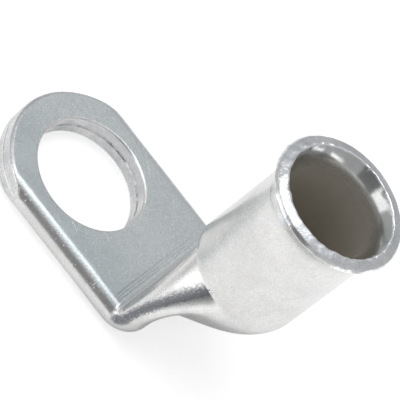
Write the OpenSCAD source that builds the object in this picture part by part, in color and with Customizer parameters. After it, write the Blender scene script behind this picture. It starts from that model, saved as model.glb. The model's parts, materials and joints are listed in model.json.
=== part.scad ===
// Right-angle tube lug for one stranded cable, closed by a bolt.
// One seamless tube: one end is pressed flat and punched as the palm, the neck is folded up square,
// and the other end stays round as the barrel that takes the stripped cable.
// Origin: centre of the bolt hole on the contact face. +Z: bolt axis and barrel axis. -X: palm tip.

/* [Palm] */

// Bolt hole diameter, 13 clears an M12 bolt
hole_d = 13; // [12.5:0.1:13.5]

// Width of the palm over its rounded sides
palm_w = 19.2; // [18.4:0.1:20]

// Radius of the punched tip, struck from the bolt hole centre
tip_r = 9.9; // [9.7:0.1:10.4]

// From the bolt hole centre to the start of the fold
hole_to_fold = 12.3; // [11.8:0.1:16]

/* [Tube] */

// Outside diameter of the barrel
tube_od = 13; // [12.6:0.1:13.4]

// Wall of the tube, the pressed palm is two walls thick
wall = 1.4; // [1.2:0.05:1.5]

/* [Neck] */

// Inside radius of the fold
fold_r = 0.7; // [0.5:0.05:1]

// How far the front of the barrel stands out over the folded palm
front_step = 1.5; // [1.2:0.1:1.8]

// Height above the contact face where the neck has become the round barrel
neck_top = 12; // [11.5:0.1:13.5]

/* [Barrel] */

// Overall height above the contact face
overall_h = 27.9; // [24:0.1:36]

// Outside diameter of the bell mouth
mouth_od = 15.5; // [15:0.1:15.8]

// Inside diameter of the bell mouth at its edge
mouth_id = 12.8; // [12.4:0.1:13.2]

// How far the bell mouth reaches down the barrel
bell_h = 3.3; // [3:0.1:3.6]

/* [Hidden] */

palm_t = 2 * wall;
half_w = palm_w / 2;
edge_r = wall;
tube_r = tube_od / 2;
bore_r = tube_r - wall;

// The fold turns about this line, above the contact face
fold_x = hole_to_fold;
fold_z = palm_t + fold_r;
front_x = fold_x + fold_r;
barrel_x = front_x - front_step + tube_r;

// Bell mouth: its edge face drops outwards, and both trumpet curves start level with each other
lip_drop = 0.6;
lip_flat = 0.15;
lip_round_w = 0.3;
lip_round_h = 0.35;
bell_z = overall_h - bell_h;
out_rise = bell_h - lip_drop;
out_run = mouth_od / 2 - tube_r;
out_arc = (out_rise * out_rise + out_run * out_run) / (2 * out_run);
in_run = mouth_id / 2 - bore_r;
in_arc = (bell_h * bell_h + in_run * in_run) / (2 * in_run);

// Steps of the neck skin: along the front or back, round an edge, up the fold, up the neck
flat_n = 10;
edge_n = 16;
fold_n = 9;
rise_n = 14;
half_n = 2 * flat_n + edge_n;
ring_n = 2 * half_n;

// The back wall leaves the fold early, this many degrees short of square
back_lead = 45;

// Pull on the neck curves, in mm.
// At the foot: at the front and the shoulders, behind the ridge, up the back.
shoulder_foot = 3.3;
edge_foot = 5;
back_foot = 0.8;
// At the head: the front and the shoulders meet the barrel sharply, the back runs smoothly into it
sharp_head = 0.05;
back_head = 4.2;

// Angles round the barrel from its front. The pressed front face reaches the barrel up to the first one.
// From there a flat shoulder goes on to the ridge that the pressed edge makes, and then the back begins.
shoulder_from = 44;
ridge_from = 80;
ridge_to = 85;
back_from = 106;
blend_from = 84;
blend_out = 50;
// Share of the pressed edge that opens into the shoulder, and where the ridge ends on it
shoulder_share = 0.35;
ridge_share = 0.5;

// The same pulls for the inside skin
inner_foot = 1.2;
inner_front_head = 2;
inner_back_head = 3.4;

// The neck seats this far into its neighbours, and this far inside their skins
lap = 0.05;
seat = 0.01;

// Gap left where the pressed walls part, and how far it reaches to each side
slit = 0.12;
slit_w = half_w - 2 * wall;
smooth_fn = 160;

// Colour of bright tin plate
tin = [0.80, 0.81, 0.82];

function ease(a) = let (c = max(0, min(1, a))) c * c * (3 - 2 * c);
function mix(a, b, q) = a + (b - a) * q;

// Position round the half section, 0 at the front centre and 1 at the back centre
function half_at(i) = i <= half_n ? i : ring_n - i;
function side_at(i) = i <= half_n ? -1 : 1;

// Pressed section: distance from the centre line, and depth from the inside face of the fold
function run_y(j, hw, er) =
    j <= flat_n ? (hw - er) * j / flat_n :
    j >= flat_n + edge_n ? (hw - er) * (half_n - j) / flat_n :
    hw - er + er * sin(180 * (j - flat_n) / edge_n);
function run_d(j, er) =
    j <= flat_n ? 0 :
    j >= flat_n + edge_n ? 2 * er :
    er - er * cos(180 * (j - flat_n) / edge_n);

// Round section: angle from the front centre
function ring_a(j) = lookup(j, [
    [0, 0],
    [flat_n, shoulder_from],
    [flat_n + edge_n * shoulder_share, ridge_from],
    [flat_n + edge_n * ridge_share, ridge_to],
    [flat_n + edge_n, back_from],
    [half_n, 180]
]);

// 1 along the middle of the back wall, falling to 0 at the edges
function back_share(j) = ease((j - flat_n - edge_n - 2) / (flat_n - 2));

// Pull of the neck curve at its foot and at its head
function foot_pull(j) =
    j < flat_n + edge_n ? mix(shoulder_foot, edge_foot, ease(((j - flat_n) / edge_n - ridge_share) * 2)) :
    mix(edge_foot, back_foot, ease((j - flat_n - edge_n) / flat_n * 1.4));
function head_pull(j) = mix(sharp_head, back_head, ease((ring_a(j) - blend_from) / blend_out));

// Point on the fold: depth d below the inside face, turned by angle b
function fold_point(y, d, b) =
    [fold_x + (fold_r + d) * sin(b), y, fold_z - (fold_r + d) * cos(b)];
function bezier(a, b, c, d, q) =
    a * pow(1 - q, 3) + b * 3 * q * pow(1 - q, 2) + c * 3 * q * q * (1 - q) + d * pow(q, 3);

// Outside skin: up the fold first, then up the neck to the round barrel.
// Its first and last rings are drawn in a little, so that it seats inside the palm and the barrel wall.
function fold_end(j) = 90 - back_lead * back_share(j);
function skin_fold(i, k) = let (j = half_at(i), in = k == 0 ? seat : 0)
    fold_point(
        side_at(i) * run_y(j, half_w - in, edge_r - in),
        in + run_d(j, edge_r - in),
        fold_end(j) * k / fold_n
    );
function round_point(i, r) = let (a = ring_a(half_at(i)))
    [barrel_x - r * cos(a), side_at(i) * r * sin(a), neck_top];
function skin_neck(i, k) = let (
        j = half_at(i),
        b = fold_end(j),
        foot = skin_fold(i, fold_n),
        head = round_point(i, tube_r - seat)
    )
    bezier(
        foot,
        foot + foot_pull(j) * [cos(b), 0, sin(b)],
        [max(head.x, front_x), head.y, head.z - head_pull(j)],
        head,
        k / rise_n
    );

// Inside skin: opens from the closed slit where the two walls part
function hollow_turn(j) = fold_end(j < half_n / 2 ? half_n - j : j);
function hollow_foot(i) = let (j = half_at(i))
    fold_point(side_at(i) * run_y(j, slit_w, slit / 2), wall - slit / 2 + run_d(j, slit / 2), hollow_turn(j));
function hollow_neck(i, k) = let (
        j = half_at(i),
        b = hollow_turn(j),
        foot = hollow_foot(i),
        head = round_point(i, bore_r + seat),
        pull = mix(inner_front_head, inner_back_head, ease(ring_a(j) / 180))
    )
    bezier(
        foot,
        foot + inner_foot * [cos(b), 0, sin(b)],
        [max(head.x, front_x + wall), head.y, head.z - pull],
        head,
        k / rise_n
    );

// Closed skin over a stack of rings, each ring in step with the next
function turned(i) = (i + ring_n) % ring_n;
function band(k) = [for (i = [0:ring_n - 1])
    let (a = k * ring_n + i, b = k * ring_n + turned(i + 1))
    each [[a, b, b + ring_n], [a, b + ring_n, a + ring_n]]];

// Flat end of the stack: strips from the front wall straight across to the back wall
function cap(base) = let (tip = half_n / 2) [for (c = [-tip:tip - 1])
    let (p = base + turned(-c), q = base + turned(-c - 1), r = base + half_n + c + 1, s = base + half_n + c)
    each (c == -tip ? [[p, q, r]] : c == tip - 1 ? [[p, q, s]] : [[p, q, r], [p, r, s]])];
function flip(faces) = [for (f = faces) [f[2], f[1], f[0]]];
module skin_solid(rings) {
    n = len(rings);
    polyhedron(
        points = [for (r = rings) each r],
        faces = concat(
            [for (k = [0:n - 2]) each flip(band(k))],
            flip(cap(0)),
            cap((n - 1) * ring_n)
        ),
        convexity = 6
    );
}

// Folded neck, seated a little into the palm and into the barrel: outside skin up, inside skin back down
module neck() {
    ring = [0:ring_n - 1];
    skin_solid(concat(
        [[for (i = ring) skin_fold(i, 0) - [lap, 0, 0]]],
        [for (k = [0:fold_n]) [for (i = ring) skin_fold(i, k)]],
        [for (k = [1:rise_n]) [for (i = ring) skin_neck(i, k)]],
        [[for (i = ring) round_point(i, tube_r - seat) + [0, 0, lap]]],
        [[for (i = ring) round_point(i, bore_r + seat) + [0, 0, lap]]],
        [for (k = [0:rise_n]) [for (i = ring) hollow_neck(i, rise_n - k)]]
    ));
}

// Pressed palm: stadium section with fully rounded sides, tip punched to an arc
module palm_bar() {
    back = tip_r + 1;
    translate([-back, 0, 0])
        rotate([90, 0, 90])
            linear_extrude(fold_x + back)
                union() {
                    translate([-(half_w - edge_r), 0])
                        square([2 * (half_w - edge_r), palm_t]);
                    translate([-(half_w - edge_r), edge_r])
                        circle(r = edge_r, $fn = 96);
                    translate([half_w - edge_r, edge_r])
                        circle(r = edge_r, $fn = 96);
                }
}

module palm() {
    difference() {
        intersection() {
            palm_bar();
            translate([0, 0, -1])
                linear_extrude(palm_t + 2)
                    union() {
                        circle(r = tip_r, $fn = smooth_fn);
                        translate([0, -half_w - 1])
                            square([fold_x + 1, palm_w + 2]);
                    }
        }
        translate([0, 0, -1])
            cylinder(d = hole_d, h = palm_t + 2, $fn = smooth_fn);
    }
}

// Round barrel with its bell mouth
module barrel_outside() {
    translate([barrel_x, 0, 0])
        rotate_extrude($fn = smooth_fn) {
            translate([0, neck_top])
                square([tube_r, bell_z - neck_top + lap]);
            difference() {
                polygon([
                    [0, bell_z],
                    [mouth_od / 2, bell_z],
                    [mouth_od / 2, overall_h - lip_drop],
                    [mouth_od / 2 - lip_round_w, overall_h - lip_drop + lip_round_h],
                    [mouth_id / 2 + lip_flat, overall_h],
                    [0, overall_h]
                ]);
                translate([tube_r + out_arc, bell_z])
                    circle(r = out_arc, $fn = smooth_fn);
            }
        }
}

module barrel_bore() {
    translate([barrel_x, 0, neck_top - 1])
        cylinder(r = bore_r, h = bell_z - neck_top + 1 + lap, $fn = smooth_fn);
    translate([barrel_x, 0, 0])
        rotate_extrude($fn = smooth_fn)
            difference() {
                translate([0, bell_z])
                    square([mouth_id / 2, bell_h + 1]);
                translate([bore_r + in_arc, bell_z])
                    circle(r = in_arc, $fn = smooth_fn);
            }
}

module barrel() {
    difference() {
        barrel_outside();
        barrel_bore();
    }
}

module lug_body() {
    color(tin)
        union() {
            palm();
            neck();
            barrel();
        }
}

lug_body();
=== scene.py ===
"""Right-angle tube lug in tin plated copper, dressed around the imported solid.

One seamless tube makes the whole piece: a pressed and punched palm, a neck folded up square and a
round barrel with a bell mouth. Each stretch is a class below. Lengths are metres.
"""

import json
import logging
import math
from dataclasses import dataclass, field
from enum import Enum

import bmesh
import bpy
import numpy as np
from mathutils import Matrix, Vector

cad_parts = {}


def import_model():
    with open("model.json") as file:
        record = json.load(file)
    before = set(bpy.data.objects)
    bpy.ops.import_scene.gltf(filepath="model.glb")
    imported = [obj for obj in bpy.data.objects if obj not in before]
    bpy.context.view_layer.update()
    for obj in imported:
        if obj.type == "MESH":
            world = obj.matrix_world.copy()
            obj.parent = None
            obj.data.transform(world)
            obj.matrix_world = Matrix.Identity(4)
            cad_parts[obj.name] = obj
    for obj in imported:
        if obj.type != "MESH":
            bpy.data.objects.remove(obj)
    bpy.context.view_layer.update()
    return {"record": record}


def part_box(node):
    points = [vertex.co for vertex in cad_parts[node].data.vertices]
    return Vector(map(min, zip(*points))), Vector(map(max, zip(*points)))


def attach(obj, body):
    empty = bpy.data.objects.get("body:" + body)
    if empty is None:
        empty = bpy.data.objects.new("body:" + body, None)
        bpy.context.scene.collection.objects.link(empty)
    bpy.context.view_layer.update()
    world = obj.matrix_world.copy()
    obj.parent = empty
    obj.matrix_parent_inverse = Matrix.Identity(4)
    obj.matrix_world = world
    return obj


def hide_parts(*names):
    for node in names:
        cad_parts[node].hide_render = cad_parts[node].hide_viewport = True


logger = logging.getLogger("tube_lug")

MM = 0.001
NODE = "lug_body"
BODY = "root"
TINY = 0.001 * MM

# Types that the hints below use.
Numbers = np.ndarray | float
Place = tuple[float, float, float]
Colour = tuple[float, float, float, float]
Socket = bpy.types.NodeSocket


class Finish(Enum):
    """Which stretch of the plated skin a face belongs to, in the order of the piece's material slots."""

    PLATE = 0
    CUT = 1
    RIM = 2
    BORE = 3


class Kind(Enum):
    """Kinds of socket that the node groups take and give."""

    GEOMETRY = "NodeSocketGeometry"
    MATERIAL = "NodeSocketMaterial"
    VECTOR = "NodeSocketVector"
    NUMBER = "NodeSocketFloat"
    WHOLE = "NodeSocketInt"


def ease(share: Numbers) -> Numbers:
    """Smooth step from 0 to 1 as share goes from 0 to 1."""
    c = np.clip(share, 0.0, 1.0)
    return c * c * (3.0 - 2.0 * c)


def mix(a: Numbers, b: Numbers, share: Numbers) -> Numbers:
    """Straight blend from a to b."""
    return a + (b - a) * share


def points_of(mesh: bpy.types.Mesh) -> np.ndarray:
    """Places of a mesh's points.

    Args:
        mesh: the mesh.

    Returns:
        An array of 3 columns.
    """
    co = np.zeros(len(mesh.vertices) * 3, np.float32)
    mesh.vertices.foreach_get("co", co)
    return co.reshape(-1, 3).astype(float)


# --------------------------------------------------------------------------------------------
# Sizes
# --------------------------------------------------------------------------------------------


@dataclass(frozen=True)
class LugSizes:
    """Sizes of the lug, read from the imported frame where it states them."""

    hole_r: float
    half_w: float
    tip_r: float
    wall: float
    barrel_x: float
    bore_r: float
    bell_z: float
    top_z: float
    mouth_r: float
    mouth_bore_r: float = 6.4 * MM
    front_step: float = 1.5 * MM
    fold_r: float = 0.7 * MM
    neck_top: float = 12.0 * MM
    lip_drop: float = 0.6 * MM
    lip_flat: float = 0.15 * MM
    slit: float = 0.12 * MM

    @classmethod
    def from_frame(cls, record: dict) -> "LugSizes":
        """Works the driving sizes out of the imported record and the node's box.

        Args:
            record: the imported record, with its mounts.

        Returns:
            The sizes that every sub-assembly is built from.
        """
        low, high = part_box(NODE)
        mounts = {m["name"]: m for m in record["mounts"]}
        hole = mounts["bolt_hole"]["dims"]
        bore = mounts["barrel_bore"]
        barrel_x = bore["pos_m"][0]
        return cls(
            hole_r=hole["r_mm"] * MM,
            half_w=high.y,
            tip_r=-low.x,
            wall=hole["length_mm"] * MM / 2,
            barrel_x=barrel_x,
            bore_r=bore["dims"]["r_mm"] * MM,
            bell_z=bore["pos_m"][2],
            top_z=high.z,
            mouth_r=high.x - barrel_x,
        )

    @property
    def palm_t(self) -> float:
        """Thickness of the pressed palm, two walls."""
        return 2 * self.wall

    @property
    def flat_w(self) -> float:
        """Half width of the palm's flat, between its rounded sides."""
        return self.half_w - self.wall

    @property
    def tube_r(self) -> float:
        """Outside radius of the round barrel."""
        return self.bore_r + self.wall

    @property
    def front_x(self) -> float:
        """Plane of the pressed front face above the fold."""
        return self.barrel_x - self.tube_r + self.front_step

    @property
    def fold_x(self) -> float:
        """Where the fold starts along the palm."""
        return self.front_x - self.fold_r

    @property
    def fold_z(self) -> float:
        """Height of the line that the fold turns about."""
        return self.palm_t + self.fold_r


# --------------------------------------------------------------------------------------------
# Section of the tube, shared by the palm, the neck and the barrel
# --------------------------------------------------------------------------------------------

# Places of columns on the pressed section, from 0 at its front centre: the start, the middle and the
# end of its rounded side, and its back centre.
SIDE_START, SIDE_MIDDLE, SIDE_END, BACK = 1.0, 1.5, 2.0, 3.0

# Angle round the barrel, in degrees from its front, at places of the pressed section. It brings the
# pressed edge up the shoulder as a ridge.
TURN_MARKS = {0.0: 0.0, SIDE_START: 44.0, 1.35: 80.0, SIDE_MIDDLE: 85.0, SIDE_END: 106.0, BACK: 180.0}


@dataclass(frozen=True)
class Columns:
    """Columns of points round the tube: each one's place, its side (-1 near, 1 far) and its angle."""

    w: np.ndarray
    side: np.ndarray
    turn: np.ndarray

    def run(self, along: np.ndarray, radius: float) -> np.ndarray:
        """Run of rows of points on these columns, from the length along the tube at each point."""
        return run_of(np.broadcast_to(self.side * self.turn, along.shape), along, radius)


@dataclass(frozen=True)
class TubeSection:
    """Columns of points round the tube, from the front centre round the near side to the back and on.

    A column's place w runs from 0 at the front centre, over 1 and 2 at the two ends of the rounded
    side, to 3 at the back centre.
    """

    flat_steps: int = 30
    edge_steps: int = 40

    @property
    def half(self) -> int:
        """Columns in half a turn."""
        return 2 * self.flat_steps + self.edge_steps

    @property
    def around(self) -> int:
        """Columns in a full turn."""
        return 2 * self.half

    def columns(self) -> Columns:
        """The columns of a full turn.

        Returns:
            Their places, their sides and their angles.
        """
        flat = np.arange(self.flat_steps) / self.flat_steps
        edge = SIDE_START + np.arange(self.edge_steps) / self.edge_steps
        half = np.concatenate([flat, edge, SIDE_END + flat, [BACK]])
        w = np.concatenate([half, half[-2:0:-1]])
        side = np.concatenate([-np.ones(self.half + 1), np.ones(self.half - 1)])
        turn = np.interp(w, list(TURN_MARKS), np.radians(list(TURN_MARKS.values())))
        return Columns(w, side, turn)

    @staticmethod
    def across(w: np.ndarray, half_w: float, edge_r: float) -> np.ndarray:
        """Distance from the centre line of a pressed section.

        Args:
            w: places of the columns.
            half_w: half width of the section.
            edge_r: radius of its rounded sides.

        Returns:
            The distance of each column.
        """
        flat = half_w - edge_r
        rounded = flat + edge_r * np.sin(np.pi * np.clip(w - SIDE_START, 0.0, 1.0))
        return np.where(w <= SIDE_START, flat * w, np.where(w >= SIDE_END, flat * (BACK - w), rounded))

    @staticmethod
    def depth(w: np.ndarray, edge_r: float) -> np.ndarray:
        """Depth below the inside face of the fold."""
        return edge_r - edge_r * np.cos(np.pi * np.clip(w - SIDE_START, 0.0, 1.0))


def run_of(turn: np.ndarray, along: np.ndarray, radius: float) -> np.ndarray:
    """Place on the tube before it was pressed: a point round it and the length along it."""
    return np.stack([radius * np.cos(turn), radius * np.sin(turn), along + 0 * turn], axis=-1)


# --------------------------------------------------------------------------------------------
# Node trees
# --------------------------------------------------------------------------------------------


class NodeSheet:
    """A node tree, with short calls for its nodes."""

    def __init__(self, tree: bpy.types.NodeTree) -> None:
        """Wraps a tree."""
        self.tree = tree

    def put(self, kind: str, links: dict | None = None, **settings: object) -> bpy.types.Node:
        """Adds a node.

        Args:
            kind: the node's type.
            links: an output or a plain value for each input, by its name or its number.
            settings: the node's own settings.

        Returns:
            The node.
        """
        node = self.tree.nodes.new(kind)
        for key, value in settings.items():
            setattr(node, key, value)
        for key, value in (links or {}).items():
            self.feed(node.inputs[key], value)
        return node

    def feed(self, socket: Socket, value: object) -> None:
        """Links an output into a socket, or writes a plain value on it.

        Args:
            socket: the input to feed.
            value: the output of another node, or a plain value.
        """
        if isinstance(value, Socket):
            self.tree.links.new(value, socket)
        else:
            socket.default_value = value

    def maths(self, operation: str, *values: object) -> Socket:
        """One number worked out from others."""
        node = self.put("ShaderNodeMath", dict(enumerate(values)), operation=operation)
        return node.outputs[0]

    def held(self, value: Socket, low: object, high: object) -> Socket:
        """A number kept between two limits."""
        return self.maths("MINIMUM", self.maths("MAXIMUM", value, low), high)

    def axes(self, vector: Socket) -> bpy.types.NodeOutputs:
        """The X, Y and Z of a vector."""
        return self.put("ShaderNodeSeparateXYZ", {"Vector": vector}).outputs


class GroupSheet(NodeSheet):
    """A node group with named inputs and outputs."""

    def __init__(self, name: str, tree_type: str, inputs: dict[str, Kind | float],
                 outputs: dict[str, Kind]) -> None:
        """Starts the group.

        Args:
            name: the group's name.
            tree_type: the type of its tree.
            inputs: kind of each input by its name, or the default of a number.
            outputs: kind of each output by its name.
        """
        super().__init__(bpy.data.node_groups.new(name, tree_type))
        face = self.tree.interface
        for label, kind in inputs.items():
            given = kind if isinstance(kind, Kind) else Kind.NUMBER
            socket = face.new_socket(name=label, in_out="INPUT", socket_type=given.value)
            if not isinstance(kind, Kind):
                socket.default_value = kind
        for label, kind in outputs.items():
            face.new_socket(name=label, in_out="OUTPUT", socket_type=kind.value)
        self.source = self.tree.nodes.new("NodeGroupInput")
        self.sink = self.tree.nodes.new("NodeGroupOutput")

    def given(self, name: str) -> Socket:
        """A named input of the group."""
        return self.source.outputs[name]

    def give(self, name: str, value: Socket) -> None:
        """Sets a named output of the group."""
        self.feed(self.sink.inputs[name], value)


class FieldTree(GroupSheet):
    """A Geometry Nodes tree written as fields."""

    def __init__(self, name: str, inputs: dict[str, Kind]) -> None:
        """Starts a tree that takes a geometry and the named inputs, and gives a geometry."""
        through = {"Geometry": Kind.GEOMETRY}
        super().__init__(name, "GeometryNodeTree", {**through, **inputs}, through)

    def vector(self, operation: str, *values: object) -> Socket:
        """One vector worked out from others."""
        node = self.put("ShaderNodeVectorMath", dict(enumerate(values)), operation=operation)
        return node.outputs[0]

    def scaled(self, vector: Socket, share: Socket) -> Socket:
        """A vector times a number."""
        return self.put("ShaderNodeVectorMath", {0: vector, "Scale": share}, operation="SCALE").outputs[0]

    def upright(self, height: Socket) -> Socket:
        """A vector that points up by a height."""
        return self.put("ShaderNodeCombineXYZ", {"Z": height}).outputs[0]

    def position(self) -> Socket:
        """Place of the point itself."""
        return self.put("GeometryNodeInputPosition").outputs[0]

    def given_point(self, index: Socket) -> Socket:
        """Place of the point with that index in the geometry that the tree is given."""
        links = {"Geometry": self.given("Geometry"), "Value": self.position(), "Index": index}
        return self.put("GeometryNodeSampleIndex", links, data_type="FLOAT_VECTOR", domain="POINT").outputs[0]

    def lattice(self, rows: Socket, count: Socket) -> tuple[Socket, Socket, Socket]:
        """A grid of points whose last column lies on its first.

        Args:
            rows: rows of points.
            count: points in a row, without the last.

        Returns:
            The grid, and the row and the column of each of its points.
        """
        columns = self.maths("ADD", count, 1.0)
        grid = self.put("GeometryNodeMeshGrid", {"Vertices X": rows, "Vertices Y": columns})
        index = self.put("GeometryNodeInputIndex").outputs[0]
        row = self.maths("FLOOR", self.maths("DIVIDE", self.maths("ADD", index, 0.5), columns))
        column = self.maths("SUBTRACT", index, self.maths("MULTIPLY", row, columns))
        return grid.outputs["Mesh"], row, self.maths("MODULO", column, count)

    def close(self, geometry: Socket, wears: list[tuple[Socket | bool, Socket]]) -> None:
        """Ends the tree in real meshes that wear their materials.

        Args:
            geometry: what the tree has made.
            wears: pairs of the faces chosen and the material that they wear.
        """
        geometry = self.put("GeometryNodeRealizeInstances", {"Geometry": geometry}).outputs[0]
        for faces, material in wears:
            links = {"Geometry": geometry, "Selection": faces, "Material": material}
            geometry = self.put("GeometryNodeSetMaterial", links).outputs[0]
        self.give("Geometry", geometry)


def baked_by(tree: bpy.types.NodeTree, mesh: bpy.types.Mesh, values: dict[str, object]) -> bpy.types.Mesh:
    """Runs a mesh through a tree and returns the plain result.

    Args:
        tree: the Geometry Nodes tree.
        mesh: what the tree starts from.
        values: the named inputs.

    Returns:
        A new mesh with no modifier left on it.
    """
    carrier = bpy.data.objects.new("carrier", mesh)
    modifier = carrier.modifiers.new(tree.name, "NODES")
    modifier.node_group = tree
    for item in tree.interface.items_tree:
        if item.item_type == "SOCKET" and item.in_out == "INPUT" and item.name in values:
            modifier[item.identifier] = values[item.name]
    bpy.context.scene.collection.objects.link(carrier)
    graph = bpy.context.evaluated_depsgraph_get()
    result = bpy.data.meshes.new_from_object(carrier.evaluated_get(graph))
    carrier.modifiers.remove(modifier)
    bpy.data.objects.remove(carrier)
    return result


def loft_tree() -> bpy.types.NodeTree:
    """Skin drawn as cubic curves through four control rings: foot, foot pull, head pull and head.

    Returns:
        The tree, which takes the rings' points one ring after the other.
    """
    made = FieldTree("Loft through rings", {"Ring points": Kind.WHOLE, "Rows": Kind.WHOLE,
                                            "Material": Kind.MATERIAL})
    rows, count = made.given("Rows"), made.given("Ring points")
    grid, row, column = made.lattice(rows, count)
    rise = made.maths("DIVIDE", row, made.maths("SUBTRACT", rows, 1.0))
    rest = made.maths("SUBTRACT", 1.0, rise)
    total = None
    for ring, weight in enumerate((1.0, 3.0, 3.0, 1.0)):
        share = made.maths("MULTIPLY", made.maths("POWER", rest, 3.0 - ring),
                           made.maths("POWER", rise, float(ring)))
        share = made.maths("MULTIPLY", share, weight)
        which = made.maths("ADD", column, made.maths("MULTIPLY", count, float(ring)))
        part = made.scaled(made.given_point(which), share)
        total = part if total is None else made.vector("ADD", total, part)
    placed = made.put("GeometryNodeSetPosition", {"Geometry": grid, "Position": total})
    made.close(placed.outputs[0], [(True, made.given("Material"))])
    return made.tree


def spin_tree() -> bpy.types.NodeTree:
    """Skin turned about an upright axis.

    Returns:
        The tree, which takes a profile of (radius, 0, height) points and then one turn of directions.
    """
    made = FieldTree("Turn about the axis", {"Profile points": Kind.WHOLE, "Turn points": Kind.WHOLE,
                                             "Axis": Kind.VECTOR, "Material": Kind.MATERIAL})
    rows = made.given("Profile points")
    grid, row, column = made.lattice(rows, made.given("Turn points"))
    profile = made.axes(made.given_point(row))
    outward = made.scaled(made.given_point(made.maths("ADD", column, rows)), profile["X"])
    place = made.vector("ADD", outward, made.upright(profile["Z"]))
    place = made.vector("ADD", place, made.given("Axis"))
    placed = made.put("GeometryNodeSetPosition", {"Geometry": grid, "Position": place})
    made.close(placed.outputs[0], [(True, made.given("Material"))])
    return made.tree


def die_lines_tree() -> bpy.types.NodeTree:
    """Fine lines that the folding die leaves across the palm, sunk into the skin at an even pitch.

    Returns:
        The tree, which takes the whole skin and gives each face the finish of its material index.
    """
    lengths = ("First line", "Pitch", "Lines", "Line width", "Line depth", "Wander", "Wander fineness",
               "Half palm", "Fade at the sides", "Lowest", "Highest", "Seed")
    wears = {kind: kind.name.title() for kind in Finish}
    inputs = {**dict.fromkeys(lengths, Kind.NUMBER), **dict.fromkeys(wears.values(), Kind.MATERIAL)}
    made = FieldTree("Die lines across the palm", inputs)
    place = made.position()
    x, y, z = made.axes(place)
    links = {"Vector": place, "W": made.given("Seed"), "Scale": made.given("Wander fineness")}
    noise = made.put("ShaderNodeTexNoise", links, noise_dimensions="4D")
    drift = made.maths("MULTIPLY", made.maths("SUBTRACT", noise.outputs[0], 0.5), made.given("Wander"))
    along = made.maths("ADD", made.maths("SUBTRACT", x, made.given("First line")), drift)
    step = made.maths("DIVIDE", along, made.given("Pitch"))
    nearest = made.held(made.maths("ROUND", step), 0.0, made.given("Lines"))
    off = made.maths("MULTIPLY", made.maths("SUBTRACT", step, nearest), made.given("Pitch"))
    off = made.maths("DIVIDE", made.maths("ABSOLUTE", off), made.given("Line width"))
    groove = made.maths("SUBTRACT", 1.0, made.maths("MINIMUM", off, 1.0))
    groove = made.maths("MULTIPLY", made.maths("MULTIPLY", groove, groove), made.given("Line depth"))
    above = made.maths("GREATER_THAN", z, made.given("Lowest"))
    below = made.maths("LESS_THAN", z, made.given("Highest"))
    groove = made.maths("MULTIPLY", groove, made.maths("MULTIPLY", above, below))
    room = made.maths("SUBTRACT", made.given("Half palm"), made.maths("ABSOLUTE", y))
    room = made.held(made.maths("DIVIDE", room, made.given("Fade at the sides")), 0.0, 1.0)
    sink = made.upright(made.maths("MULTIPLY", made.maths("MULTIPLY", groove, room), -1.0))
    moved = made.put("GeometryNodeSetPosition", {"Geometry": made.given("Geometry"), "Offset": sink})
    index = made.put("GeometryNodeInputMaterialIndex").outputs[0]
    made.close(moved.outputs[0], [(made.maths("COMPARE", index, float(kind.value), 0.5), made.given(name))
                                  for kind, name in wears.items()])
    return made.tree


# --------------------------------------------------------------------------------------------
# One closed skin, gathered stretch by stretch
# --------------------------------------------------------------------------------------------


class SkinNet:
    """Gathers grids of points into one closed skin, with the finish and the run of each point."""

    def __init__(self) -> None:
        """Starts empty."""
        self.points: list[np.ndarray] = []
        self.runs: list[np.ndarray] = []
        self.pressed: list[np.ndarray] = []
        self.dirt: list[np.ndarray] = []
        self.faces: list[tuple[int, ...]] = []
        self.finishes: list[int] = []
        self.count = 0

    def add_grid(
        self,
        grid: np.ndarray,
        run: np.ndarray,
        finish: Finish | list[Finish],
        pressed: Numbers = 0.0,
        dirt: Numbers = 0.0,
        closed: bool = True,
        flip: bool = False,
    ) -> None:
        """Adds rows of points joined into four-sided faces.

        Args:
            grid: points, as rows by columns by 3.
            run: place along and round the tube for each point, rows by columns by 3.
            finish: finish of all the faces, or one for each band between rows.
            pressed: 1 where the tube was pressed flat, 0 on the round barrel, rows by columns.
            dirt: die dirt left on the skin, with painted shade along the neck's ridge, rows by columns.
            closed: joins the last column to the first.
            flip: turns the faces over.
        """
        rows, columns = grid.shape[:2]
        self.points.append(grid.reshape(-1, 3))
        self.runs.append(run.reshape(-1, 3))
        self.pressed.append(np.broadcast_to(pressed, (rows, columns)).reshape(-1))
        self.dirt.append(np.broadcast_to(dirt, (rows, columns)).reshape(-1))
        last = columns if closed else columns - 1
        for r in range(rows - 1):
            band = finish[r] if isinstance(finish, list) else finish
            for c in range(last):
                a = self.count + r * columns + c
                b = self.count + r * columns + (c + 1) % columns
                quad = (a, b, b + columns, a + columns)
                self.faces.append(quad[::-1] if flip else quad)
                self.finishes.append(band.value)
        self.count += rows * columns

    def mesh(self, name: str, weld: float) -> bpy.types.Mesh:
        """Welds the grids into one closed mesh.

        Args:
            name: the mesh's name.
            weld: points closer than this become one.

        Returns:
            The mesh, with its finishes and the attributes that the materials read.
        """
        mesh = bpy.data.meshes.new(name)
        mesh.from_pydata(np.concatenate(self.points).tolist(), [], self.faces)
        mesh.polygons.foreach_set("material_index", np.array(self.finishes, np.int32))
        run = mesh.attributes.new("tube_run", "FLOAT_VECTOR", "POINT")
        run.data.foreach_set("vector", np.concatenate(self.runs).astype(np.float32).ravel())
        for label, parts in (("pressed", self.pressed), ("dirt", self.dirt)):
            layer = mesh.attributes.new(label, "FLOAT", "POINT")
            layer.data.foreach_set("value", np.concatenate(parts).astype(np.float32))
        work = bmesh.new()
        work.from_mesh(mesh)
        bmesh.ops.remove_doubles(work, verts=work.verts, dist=weld)
        bmesh.ops.dissolve_degenerate(work, edges=work.edges, dist=weld)
        bmesh.ops.recalc_face_normals(work, faces=work.faces)
        work.to_mesh(mesh)
        work.free()
        mesh.shade_smooth()
        return mesh


# --------------------------------------------------------------------------------------------
# Palm
# --------------------------------------------------------------------------------------------


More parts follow.
